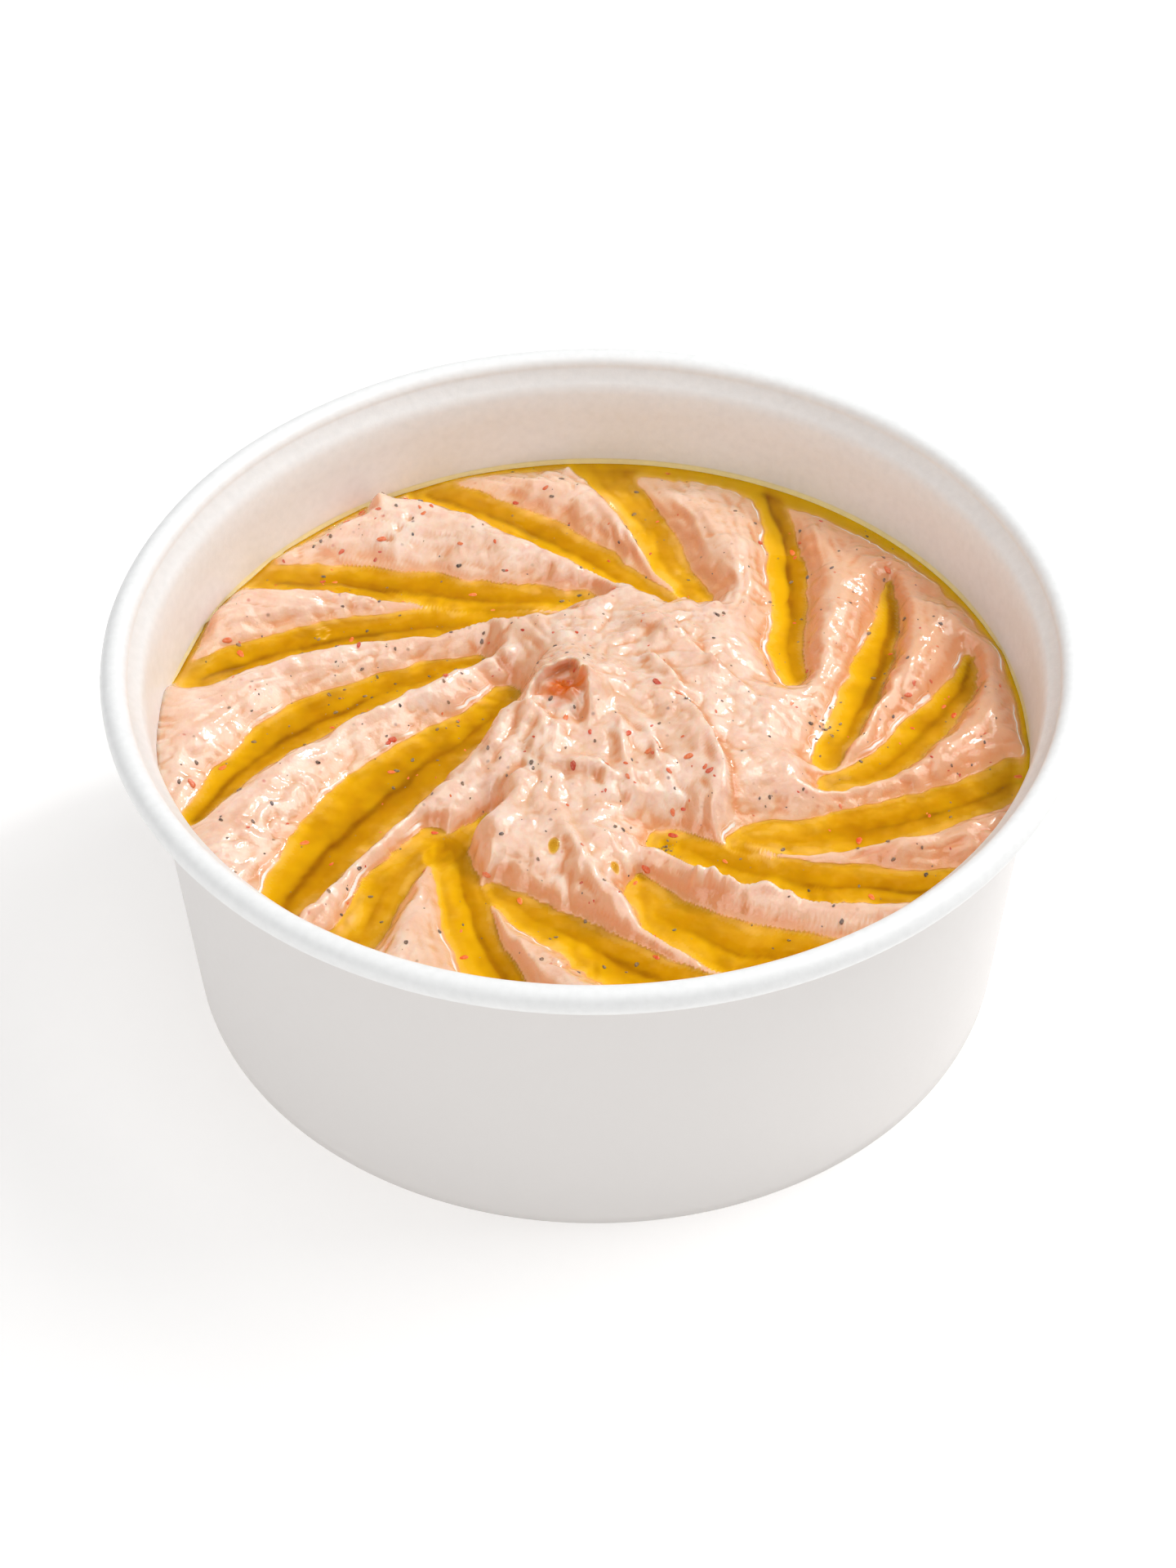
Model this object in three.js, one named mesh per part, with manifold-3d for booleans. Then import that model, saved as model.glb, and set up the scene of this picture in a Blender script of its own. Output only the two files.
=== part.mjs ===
// Paper bowl of labneh: whipped labneh swirled with a spoon, with olive oil lying in the grooves.
// Millimetres, +Z up, origin at the centre of the bowl's base, front of the bowl towards -Y.
import * as THREE from 'three';
import { mergeVertices } from 'three/addons/utils/BufferGeometryUtils.js';
import Module from 'manifold-3d';

const wasm = await Module();
wasm.setup();

// Bowl
const rimDiameter = 150;
const baseDiameter = 128;
const bowlHeight = 60;
const paperThickness = 0.6;
const rollDiameter = 4.2;
const footHeight = 6;
const footThickness = 1.7;
const flareHeight = 54.5;
const flareDiameter = 138;
const bowlSegments = 64;
const rollSteps = 11;

// Contents
const clearance = 0.3;
const oilLevel = 41.5;
const oilDepthLimit = 9;
const swirlSegments = 112;
const ringRadii = [5, 10, 15, 20, 25, 30, 35, 40, 45, 50, 55, 59.5, 63, 65.2];
const ringTwist = { startRadius: 14, turn: 52, bend: 0.6 };
const cutOverhang = 2;

// Heights above the oil
const ridge = { rise: 3.1, wallDrop: 1.6, dropWidth: 6 };
const mound = { rise: 4.4, spread: 20, x: 1, y: -1 };
const peak = { rise: 4.8, spread: 8.5, x: -4, y: 8 };
const moat = { depth: 1.8, narrow: 1.3, wide: 2.6, widestAngle: 35, blend: 1.2 };
const grooveShape = { power: 1.35, blend: 2.2, steps: 20 };

// Each spoon groove runs outwards from one [angle, radius] to another. Half widths at the oil
// level and depths below it are given at the inner end, the middle and the wall. Lean above 0
// widens the anticlockwise side, so that the crease lies nearer the other one.
const grooves = [
  { from: [93, 30.5], to: [144, 64], bend: 0.42, width: [1.8, 3.6, 2.6], depth: [2, 4.2, 3], lean: 0 },
  { from: [101, 27.5], to: [167, 64.5], bend: 0.52, width: [1, 3.3, 2.6], depth: [1.2, 4, 3], lean: 0.1 },
  { from: [137, 25], to: [196, 65], bend: 0.68, width: [1.6, 4.2, 3], depth: [2, 4.8, 3.5], lean: 0.2 },
  { from: [147, 16], to: [222, 65], bend: 0.3, width: [2.5, 6, 3.5], depth: [2.5, 6, 4], lean: 0 },
  { from: [226, 34], to: [226, 63], bend: 1, width: [3, 4.2, 4], depth: [0.8, 1.1, 1], lean: 0 },
  { from: [228, 35], to: [263, 65], bend: 0.72, width: [2, 3.4, 3.6], depth: [1.8, 4, 4], lean: 0 },
  { from: [247, 38], to: [291, 65], bend: 0.6, width: [1.6, 3.2, 3.4], depth: [1.6, 3.6, 4], lean: 0 },
  { from: [280, 36], to: [309, 65], bend: 1, width: [2.6, 4.6, 4.4], depth: [1, 3.8, 3.8], lean: 0 },
  { from: [292, 27], to: [329, 65.5], bend: 0.66, width: [2.4, 3.4, 2.6], depth: [2, 3.6, 3.2], lean: 0 },
  { from: [313, 34], to: [351, 65.5], bend: 0.74, width: [1.8, 3.2, 3.2], depth: [1.5, 3.4, 3.4], lean: 0.1 },
  { from: [341, 39], to: [380, 65.5], bend: 1, width: [2, 2.6, 2.4], depth: [1.4, 3.4, 3.4], lean: 0.3 },
  { from: [349, 37], to: [396, 64.5], bend: 0.7, width: [2, 3.6, 1.8], depth: [1.8, 5, 3.6], lean: 0.5 },
  { from: [22, 34], to: [64, 65], bend: 0.6, width: [2, 2.8, 2.2], depth: [2, 5, 4], lean: 0.2 },
  { from: [62, 35], to: [89, 66], bend: 0.7, width: [1.6, 2.8, 2.8], depth: [0.8, 1.6, 1.4], lean: 0.2 },
  { from: [70, 33], to: [114, 65], bend: 0.62, width: [1.6, 3, 2.4], depth: [1.8, 3.6, 2.8], lean: 0 },
];

const radians = Math.PI / 180;
const wallSlope = (flareDiameter - baseDiameter) / 2 / flareHeight;
const innerRadius = (z) => baseDiameter / 2 - paperThickness + wallSlope * z;
const contentsRadius = (z) => innerRadius(z) - clearance;
const contentsBase = footHeight + paperThickness + clearance;

function material(color, roughness) {
  return new THREE.MeshStandardMaterial({ color, roughness, metalness: 0 });
}

function named(name, geometry, look) {
  const mesh = new THREE.Mesh(geometry, look);
  mesh.name = name;
  return mesh;
}

// A profile of [radius, height] points turned round the Z axis.
function turned(points, segments) {
  const profile = points.map(([radius, z]) => new THREE.Vector2(radius, z));
  return new THREE.LatheGeometry(profile, segments).rotateX(Math.PI / 2);
}

// Foot ring, wall, flare under the rim, rolled rim and the raised bottom disc in one profile.
function bowlGeometry() {
  const rollRadius = rollDiameter / 2;
  const rollX = rimDiameter / 2 - rollRadius;
  const rollZ = bowlHeight - rollRadius;
  const footInner = baseDiameter / 2 - footThickness;
  const rollStart = 210 * radians;
  const rollEnd = 540 * radians;
  const profile = [
    [0, footHeight],
    [footInner, footHeight],
    [footInner, 0],
    [baseDiameter / 2, 0],
    [flareDiameter / 2, flareHeight],
  ];
  for (let i = 0; i <= rollSteps; i += 1) {
    const turn = rollStart + ((rollEnd - rollStart) * i) / rollSteps;
    profile.push([rollX + rollRadius * Math.cos(turn), rollZ + rollRadius * Math.sin(turn)]);
  }
  profile.push([innerRadius(flareHeight), flareHeight]);
  profile.push([innerRadius(footHeight + paperThickness), footHeight + paperThickness]);
  profile.push([0, footHeight + paperThickness]);
  return turned(profile, bowlSegments);
}

function smoothMin(a, b, blend) {
  const overlap = Math.max(blend - Math.abs(a - b), 0) / blend;
  return Math.min(a, b) - (overlap * overlap * blend) / 4;
}

// Value along a groove from its three stated values.
function along([inner, middle, outer], t) {
  const end = t < 0.5 ? inner : outer;
  return end + (middle - end) * Math.sin(Math.PI * t);
}

function groovePoint({ from, to, bend }, t) {
  const angle = (from[0] + (to[0] - from[0]) * t ** bend) * radians;
  const radius = from[1] + (to[1] - from[1]) * t;
  return new THREE.Vector2(radius * Math.cos(angle), radius * Math.sin(angle));
}

const groovePaths = grooves.map((groove) => {
  const stops = Array.from({ length: grooveShape.steps + 1 }, (_, i) => (i / grooveShape.steps) ** 1.6);
  return stops.map((t) => ({ t, at: groovePoint(groove, t) }));
});

// Nearest point of a groove's path: its distance, the side it is on and the place along the path.
function nearest(path, point) {
  let best = { distance: Infinity, side: 0, t: 0 };
  for (let i = 1; i < path.length; i += 1) {
    const start = path[i - 1];
    const run = path[i].at.clone().sub(start.at);
    const offset = point.clone().sub(start.at);
    const share = THREE.MathUtils.clamp(offset.dot(run) / run.lengthSq(), 0, 1);
    const gap = offset.clone().addScaledVector(run, -share);
    const distance = gap.length();
    if (distance < best.distance) {
      best = { distance, side: Math.sign(run.cross(offset)), t: start.t + (path[i].t - start.t) * share };
    }
  }
  return best;
}

function bump({ rise, spread, x, y }, point) {
  return rise * Math.exp(-(((point.x - x) ** 2 + (point.y - y) ** 2) / spread ** 2));
}

// Height of the labneh above the bowl's base: ridges, mound and peak, with the grooves
// and a narrow moat along the wall taken out.
function labnehHeight(point) {
  const radius = point.length();
  const angle = Math.atan2(point.y, point.x) / radians;
  const wallRadius = innerRadius(oilLevel);
  const nearWall = THREE.MathUtils.smoothstep(radius, wallRadius - ridge.dropWidth, wallRadius);
  let height = ridge.rise - ridge.wallDrop * nearWall + bump(mound, point) + bump(peak, point);
  grooves.forEach((groove, index) => {
    const { distance, side, t } = nearest(groovePaths[index], point);
    const width = along(groove.width, t) * (1 + groove.lean * side);
    const carved = along(groove.depth, t) * ((distance / width) ** grooveShape.power - 1);
    height = smoothMin(height, carved, grooveShape.blend);
  });
  const facing = Math.max(Math.cos((angle - moat.widestAngle) * radians), 0);
  const moatWidth = moat.narrow + (moat.wide - moat.narrow) * facing;
  const moatHeight = moat.depth * ((wallRadius - radius) / moatWidth - 1);
  return oilLevel + smoothMin(height, moatHeight, moat.blend);
}

// Closed solid of the labneh. Its grid rows are twisted to run along the ridges. Raised and
// with an overhang past the wall, it is the cutter that leaves only the oil.
function labnehGeometry(raise = 0, overhang = 0) {
  const positions = [0, 0, labnehHeight(new THREE.Vector2()) + raise];
  const { startRadius, turn, bend } = ringTwist;
  const wallRadius = contentsRadius(oilLevel);
  const addRing = (radius, place) => {
    const reach = Math.max(radius - startRadius, 0) / (wallRadius - startRadius);
    for (let i = 0; i < swirlSegments; i += 1) {
      const angle = (360 * i) / swirlSegments + turn * reach ** bend;
      const point = new THREE.Vector2(radius, 0).rotateAround(new THREE.Vector2(), angle * radians);
      const [length, z] = place(labnehHeight(point) + raise);
      point.setLength(length);
      positions.push(point.x, point.y, z);
    }
  };
  ringRadii.forEach((radius) => addRing(radius, (z) => [radius, z]));
  addRing(wallRadius, (z) => [contentsRadius(z - raise), z]);
  if (overhang > 0) addRing(wallRadius, (z) => [contentsRadius(z) + overhang, z]);
  addRing(wallRadius, () => [contentsRadius(contentsBase) + overhang, contentsBase]);
  const ringCount = ringRadii.length + (overhang > 0 ? 3 : 2);
  positions.push(0, 0, contentsBase);

  const index = [];
  const bottom = positions.length / 3 - 1;
  const at = (ring, i) => 1 + ring * swirlSegments + (i % swirlSegments);
  for (let i = 0; i < swirlSegments; i += 1) {
    index.push(0, at(0, i), at(0, i + 1));
    for (let ring = 1; ring < ringCount; ring += 1) {
      const [a, b] = [at(ring - 1, i), at(ring - 1, i + 1)];
      const [c, d] = [at(ring, i), at(ring, i + 1)];
      index.push(a, c, d, a, d, b);
    }
    index.push(bottom, at(ringCount - 1, i + 1), at(ringCount - 1, i));
  }
  const geometry = new THREE.BufferGeometry();
  geometry.setAttribute('position', new THREE.Float32BufferAttribute(positions, 3));
  geometry.setIndex(index);
  geometry.computeVertexNormals();
  return geometry;
}

function toSolid(geometry) {
  const plain = geometry.clone();
  plain.deleteAttribute('normal');
  plain.deleteAttribute('uv');
  const merged = mergeVertices(plain, 1e-4);
  return new wasm.Manifold(new wasm.Mesh({
    numProp: 3,
    vertProperties: Float32Array.from(merged.attributes.position.array),
    triVerts: Uint32Array.from(merged.index.array),
  }));
}

function toGeometry(solid) {
  const { vertProperties, triVerts } = solid.getMesh();
  const geometry = new THREE.BufferGeometry();
  geometry.setAttribute('position', new THREE.BufferAttribute(vertProperties, 3));
  geometry.setIndex(new THREE.BufferAttribute(triVerts, 1));
  geometry.computeVertexNormals();
  return geometry;
}

// The oil fills the bowl up to its level, above the labneh: the moat and every groove in one body.
function oilGeometry() {
  const lowest = oilLevel - oilDepthLimit;
  const disc = turned([
    [0, lowest],
    [contentsRadius(lowest), lowest],
    [contentsRadius(oilLevel), oilLevel],
    [0, oilLevel],
  ], swirlSegments);
  const pools = toSolid(disc).subtract(toSolid(labnehGeometry(clearance, cutOverhang))).decompose();
  const [largest] = pools.sort((a, b) => b.volume() - a.volume());
  return toGeometry(largest);
}

const bowlOfLabneh = new THREE.Group();
bowlOfLabneh.add(
  named('bowl', bowlGeometry(), material('#f4f1ec', 0.55)),
  named('labneh', labnehGeometry(), material('#ecc9b5', 0.35)),
  named('olive_oil', oilGeometry(), material('#d9a414', 0.08)),
);

export default bowlOfLabneh;
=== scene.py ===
import math

import bpy
import numpy as np
from mathutils import Matrix, Vector, noise


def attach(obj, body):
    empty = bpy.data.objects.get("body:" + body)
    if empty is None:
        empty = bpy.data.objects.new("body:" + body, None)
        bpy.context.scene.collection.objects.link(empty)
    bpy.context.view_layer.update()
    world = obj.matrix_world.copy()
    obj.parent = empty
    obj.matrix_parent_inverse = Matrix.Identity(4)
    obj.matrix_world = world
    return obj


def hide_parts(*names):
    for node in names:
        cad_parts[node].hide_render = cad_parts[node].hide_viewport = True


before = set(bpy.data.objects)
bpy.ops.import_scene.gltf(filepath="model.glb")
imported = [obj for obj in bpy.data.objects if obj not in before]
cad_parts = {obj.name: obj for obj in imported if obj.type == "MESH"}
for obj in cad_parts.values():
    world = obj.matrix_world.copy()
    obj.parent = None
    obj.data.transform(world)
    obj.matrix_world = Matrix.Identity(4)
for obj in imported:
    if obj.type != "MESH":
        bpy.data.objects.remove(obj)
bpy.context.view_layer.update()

# Paper bowl of labneh, drawn into a swirl, with olive oil in the grooves.
# Shapes are worked out in millimetres and built in metres.
mm = 0.001
scene = bpy.context.scene

camera = {
    "lens": 95.0, "sensor": 36.0, "place": (-0.00104, -0.47225, 0.47456),
    "elevation": 43.226, "roll": -0.385, "picture": (1440, 1920),
}
lamps = [
    {"name": "key", "place": (0.63, 0.23, 0.76), "size": 0.8, "power": 5.4, "tint": (1, 1, 1)},
    {"name": "glint", "place": (0.46, 0.40, 0.64), "size": 0.07, "power": 1.5, "tint": (1, 1, 1)},
    {"name": "top", "place": (-0.24, -0.20, 1.00), "size": 0.9, "power": 3.1, "tint": (1, 1, 1)},
    {"name": "front", "place": (-0.45, -0.85, 0.75), "size": 0.60, "power": 2.0, "tint": (1, 1, 1)},
]
studio = {"sky": 0.29, "skyTint": (0.96, 0.98, 1.0), "floorHalf": 4.0, "floorAlbedo": 0.9, "floorGlow": 0.28}


def link(name, data):
    thing = bpy.data.objects.new(name, data)
    scene.collection.objects.link(thing)
    return thing


def cameraTurn():
    turn = Matrix.Rotation(math.radians(90 - camera["elevation"]), 4, "X")
    return turn @ Matrix.Rotation(math.radians(camera["roll"]), 4, "Z")


def addCamera():
    data = bpy.data.cameras.new("camera")
    data.lens, data.sensor_width = camera["lens"], camera["sensor"]
    data.clip_start, data.clip_end = 0.01, 20
    eye = link("camera", data)
    eye.matrix_world = Matrix.Translation(camera["place"]) @ cameraTurn()
    scene.camera = eye


def seenAt(across, down, height):
    # the place in millimetres, at a height over the table, that the photo shows at one of its pixels
    wide, high = camera["picture"]
    focal = camera["lens"] / camera["sensor"] * high
    ray = cameraTurn() @ Vector(((across - wide / 2) / focal, (high / 2 - down) / focal, -1))
    eye = Vector(camera["place"]) * 1000
    return (eye + ray * ((height - eye.z) / ray.z))[:2]


def addLights():
    for lamp in lamps:
        data = bpy.data.lights.new(lamp["name"], "AREA")
        data.size, data.energy, data.color = lamp["size"], lamp["power"], lamp["tint"]
        light = link(lamp["name"], data)
        light.location = lamp["place"]
        light.rotation_euler = (-Vector(lamp["place"])).to_track_quat("-Z", "Y").to_euler()
    world = bpy.data.worlds.new("studio")
    world.use_nodes = True
    sky = world.node_tree.nodes["Background"]
    sky.inputs["Color"].default_value = (*studio["skyTint"], 1)
    sky.inputs["Strength"].default_value = studio["sky"]
    scene.world = world
    scene.view_settings.view_transform = "Standard"
    scene.view_settings.look = "None"


def addFloor():
    half = studio["floorHalf"]
    mesh = bpy.data.meshes.new("floor")
    corners = [(-half, -half, 0), (half, -half, 0), (half, half, 0), (-half, half, 0)]
    mesh.from_pydata(corners, [], [(0, 1, 2, 3)])
    floor = link("floor", mesh)
    mat = bpy.data.materials.new("floor")
    mat.use_nodes = True
    shader = mat.node_tree.nodes["Principled BSDF"]
    shader.inputs["Base Color"].default_value = (*[studio["floorAlbedo"]] * 3, 1)
    shader.inputs["Roughness"].default_value = 0.9
    shader.inputs["Specular IOR Level"].default_value = 0.0
    shader.inputs["Emission Color"].default_value = (1, 0.95, 0.91, 1)
    shader.inputs["Emission Strength"].default_value = studio["floorGlow"]
    mesh.materials.append(mat)


def plainMesh(name, points, faces):
    mesh = bpy.data.meshes.new(name)
    mesh.from_pydata([tuple(p) for p in points], [], [tuple(f) for f in faces])
    mesh.validate()
    mesh.polygons.foreach_set("use_smooth", [True] * len(mesh.polygons))
    mesh.update()
    return link(name, mesh)


def floatAttribute(piece, name, values):
    padding = np.zeros(len(piece.data.vertices) - values.size)
    layer = piece.data.attributes.new(name, "FLOAT", "POINT")
    layer.data.foreach_set("value", np.concatenate([values.ravel(), padding]).astype(np.float32))


def newMaterial(name):
    mat = bpy.data.materials.new(name)
    mat.use_nodes = True
    return mat, mat.node_tree, mat.node_tree.nodes["Principled BSDF"]


def addNode(tree, kind, **settings):
    node = tree.nodes.new(kind)
    for key, value in settings.items():
        if key in node.inputs:
            node.inputs[key].default_value = value
        else:
            setattr(node, key, value)
    return node


def screen(red, green, blue):
    # a colour as it looks on a screen, 0 to 255, turned into the linear one that a node takes
    parts = [c / 255 for c in (red, green, blue)]
    return tuple(((c + 0.055) / 1.055) ** 2.4 if c > 0.04 else c / 12.92 for c in parts)


def addRamp(tree, source, stops):
    node = addNode(tree, "ShaderNodeValToRGB")
    ramp = node.color_ramp
    ramp.elements.remove(ramp.elements[0])
    for i, (place, colour) in enumerate(stops):
        element = ramp.elements[0] if i == 0 else ramp.elements.new(place)
        element.position = place
        element.color = (*colour, 1)
    tree.links.new(source, node.inputs["Fac"])
    return node.outputs["Color"]


def colourRamp(tree, source, stops):
    return addRamp(tree, source, [(place, screen(*colour)) for place, colour in stops])


def greyRamp(tree, source, stops):
    return addRamp(tree, source, [(place, (value, value, value)) for place, value in stops])


def mixColour(tree, factor, a, b):
    node = addNode(tree, "ShaderNodeMix", data_type="RGBA")
    for socket, value in zip((node.inputs[0], node.inputs[6], node.inputs[7]), (factor, a, b)):
        if isinstance(value, tuple):
            socket.default_value = (*screen(*value), 1)
        else:
            tree.links.new(value, socket)
    return node.outputs[2]


def tinted(tree, base, source, stops, tint):
    # the base colour turning to the tint as the source rises through the stops
    return mixColour(tree, greyRamp(tree, source, stops), base, tint)


def attribute(tree, name):
    return addNode(tree, "ShaderNodeAttribute", attribute_name=name).outputs["Fac"]


def times(tree, a, b):
    node = addNode(tree, "ShaderNodeMath", operation="MULTIPLY")
    for socket, value in zip(node.inputs, (a, b)):
        if isinstance(value, bpy.types.NodeSocket):
            tree.links.new(value, socket)
        else:
            socket.default_value = value
    return node.outputs[0]


def fineGrainGroup():
    # two sizes of noise, for the fine relief of every surface
    tree = bpy.data.node_groups.new("fineGrain", "ShaderNodeTree")
    sockets = {"Vector": "NodeSocketVector", "Scale": "NodeSocketFloat", "Fine Share": "NodeSocketFloat"}
    for name, kind in sockets.items():
        tree.interface.new_socket(name, in_out="INPUT", socket_type=kind)
    for name in ("Height", "Shade"):
        tree.interface.new_socket(name, in_out="OUTPUT", socket_type="NodeSocketFloat")
    start = addNode(tree, "NodeGroupInput")
    end = addNode(tree, "NodeGroupOutput")
    coarse = addNode(tree, "ShaderNodeTexNoise", Detail=3.0, Roughness=0.5)
    fine = addNode(tree, "ShaderNodeTexNoise", Detail=2.0, Roughness=0.6)
    finer = addNode(tree, "ShaderNodeMath", operation="MULTIPLY")
    finer.inputs[1].default_value = 3.7
    blend = addNode(tree, "ShaderNodeMix", data_type="FLOAT")
    tree.links.new(start.outputs["Vector"], coarse.inputs["Vector"])
    tree.links.new(start.outputs["Vector"], fine.inputs["Vector"])
    tree.links.new(start.outputs["Scale"], coarse.inputs["Scale"])
    tree.links.new(start.outputs["Scale"], finer.inputs[0])
    tree.links.new(finer.outputs[0], fine.inputs["Scale"])
    tree.links.new(start.outputs["Fine Share"], blend.inputs[0])
    tree.links.new(coarse.outputs["Fac"], blend.inputs[2])
    tree.links.new(fine.outputs["Fac"], blend.inputs[3])
    tree.links.new(blend.outputs[0], end.inputs["Height"])
    tree.links.new(coarse.outputs["Fac"], end.inputs["Shade"])
    return tree


def addGrain(tree, shader, scale, fineShare, depth, share=None):
    coord = addNode(tree, "ShaderNodeTexCoord")
    grain = addNode(tree, "ShaderNodeGroup", node_tree=fineGrain)
    grain.inputs["Scale"].default_value = scale
    grain.inputs["Fine Share"].default_value = fineShare
    tree.links.new(coord.outputs["Object"], grain.inputs["Vector"])
    bump = addNode(tree, "ShaderNodeBump", Strength=1.0, Distance=depth * mm)
    height = grain.outputs["Height"]
    if share:
        height = mixColour(tree, share, (0, 0, 0), height)
    tree.links.new(height, bump.inputs["Height"])
    tree.links.new(bump.outputs["Normal"], shader.inputs["Normal"])
    return coord.outputs["Object"], grain.outputs["Shade"]


bowl = {
    "rimRadius": 75.0, "baseRadius": 64.0, "height": 60.0, "paper": 0.6, "rollRadius": 2.1,
    "footHeight": 6.0, "footThickness": 1.7, "footEdge": 0.15, "flareHeight": 54.5, "flareRadius": 69.0,
    "segments": 288, "wallSteps": 16, "rollSteps": 26, "rollStart": 210, "rollTurn": 330,
    "rimWave": 0.12, "seamAngle": 78.0, "seamWidth": 8.0, "seamStep": 0.35,
}


def wallRadius(z):
    # inner face of the cone
    slope = (bowl["flareRadius"] - bowl["baseRadius"]) / bowl["flareHeight"]
    return bowl["baseRadius"] - bowl["paper"] + slope * z


def paperMaterial():
    mat, tree, shader = newMaterial("coatedPaper")
    shade = addGrain(tree, shader, 700.0, 0.5, 0.035)[1]
    white = colourRamp(tree, shade, [(0.3, (246, 246, 245)), (0.7, (252, 252, 251))])
    # painted shade: the outer wall is painted darker and warmer than the inside
    white = tinted(tree, white, attribute(tree, "outerShade"), [(0.3, 0.0), (1.0, 1.0)], (234, 230, 227))
    tree.links.new(white, shader.inputs["Base Color"])
    rough = greyRamp(tree, shade, [(0.2, 0.36), (0.8, 0.5)])
    tree.links.new(rough, shader.inputs["Roughness"])
    shader.inputs["Coat Weight"].default_value = 0.2
    shader.inputs["Coat Roughness"].default_value = 0.25
    return mat


def bowlProfile():
    # (radius, height, share of the seam's step, share of the rim's wave)
    base, height, roll = bowl["baseRadius"], bowl["footHeight"], bowl["rollRadius"]
    foot, edge, flare = base - bowl["footThickness"], bowl["footEdge"], bowl["flareHeight"]
    profile = [(0, height, 0, 0), (foot * 0.5, height, 0, 0), (foot - 0.9, height, 0, 0)]
    profile += [(foot, height - 0.7, 0, 0), (foot, edge, 0, 0)]
    profile += [(foot + edge, 0, 0, 0), (base - edge, 0, 0, 0)]
    for i in range(bowl["wallSteps"] + 1):
        share = i / bowl["wallSteps"]
        reach = (bowl["flareRadius"] - base) * share
        profile.append((base + reach, edge + (flare - edge) * share, 1, 0.3 * share))
    for i in range(bowl["rollSteps"] + 1):
        turn = math.radians(bowl["rollStart"] + bowl["rollTurn"] * i / bowl["rollSteps"])
        out, up = bowl["rimRadius"] - roll, bowl["height"] - roll
        profile.append((out + roll * math.cos(turn), up + roll * math.sin(turn), 0.3, 1))
    profile += [(wallRadius(flare) + 0.75, flare + 1.8, 0, 0.5)]
    profile += [(wallRadius(flare - 4 * i), flare - 4 * i, 0, 0.2) for i in range(11)]
    floorTop = height + bowl["paper"]
    profile += [(wallRadius(floorTop), floorTop, 0, 0), (0, floorTop, 0, 0)]
    return profile


def bowlPoint(radius, z, seamShare, waveShare, turn):
    # one point of the paper, with the wave of the rim and the step where the paper overlaps
    wavy = abs(noise.noise((2.2 * math.cos(turn), 2.2 * math.sin(turn), z / 40)))
    wave = wavy * bowl["rimWave"] * waveShare
    past = ((math.degrees(turn) - bowl["seamAngle"]) % 360) / 360 * 2 * math.pi * radius
    seam = bowl["seamStep"] * seamShare * max(1 - past / bowl["seamWidth"], 0)
    r = min(radius - wave + seam, bowl["rimRadius"])
    return r * math.cos(turn) * mm, r * math.sin(turn) * mm, (z - wave if z > 1 else z) * mm


def paperBowl():
    count = bowl["segments"]
    points, faces, outerShade = [], [], []
    for radius, z, seamShare, waveShare in bowlProfile():
        outerShade += [seamShare] * (count if radius else 1)
        if radius == 0:
            points.append((0, 0, z * mm))
            continue
        for k in range(count):
            points.append(bowlPoint(radius, z, seamShare, waveShare, 2 * math.pi * k / count))
    rings = (len(points) - 2) // count
    last = 1 + (rings - 1) * count
    for k in range(count):
        n = (k + 1) % count
        faces.append((0, 1 + n, 1 + k))
        faces.append((len(points) - 1, last + k, last + n))
        for i in range(rings - 1):
            low, high = 1 + i * count, 1 + (i + 1) * count
            faces.append((low + k, low + n, high + n, high + k))
    piece = plainMesh("paper_bowl", points, faces)
    # share of the painted shade on the outer wall, one value per point
    floatAttribute(piece, "outerShade", np.array(outerShade))
    piece.data.materials.append(paperMaterial())
    return piece


# Heights of the swirl are counted from the oil's level. Angles are in degrees and turn with the spoon.
swirl = {
    "oil": 41.5, "crest": 4.6, "wallDrop": 1.6, "dropWidth": 6.0, "blend": 0.7, "bed": 0.18,
    "intoPaper": 0.25, "steps": 24, "grid": 309, "centreShare": 0.82, "foldScale": 1.7, "moundPower": 1.4,
    "depthShare": 0.55, "frontWiden": 2.1, "bank": 3.8, "bankSkew": 4.6,
}
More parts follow.
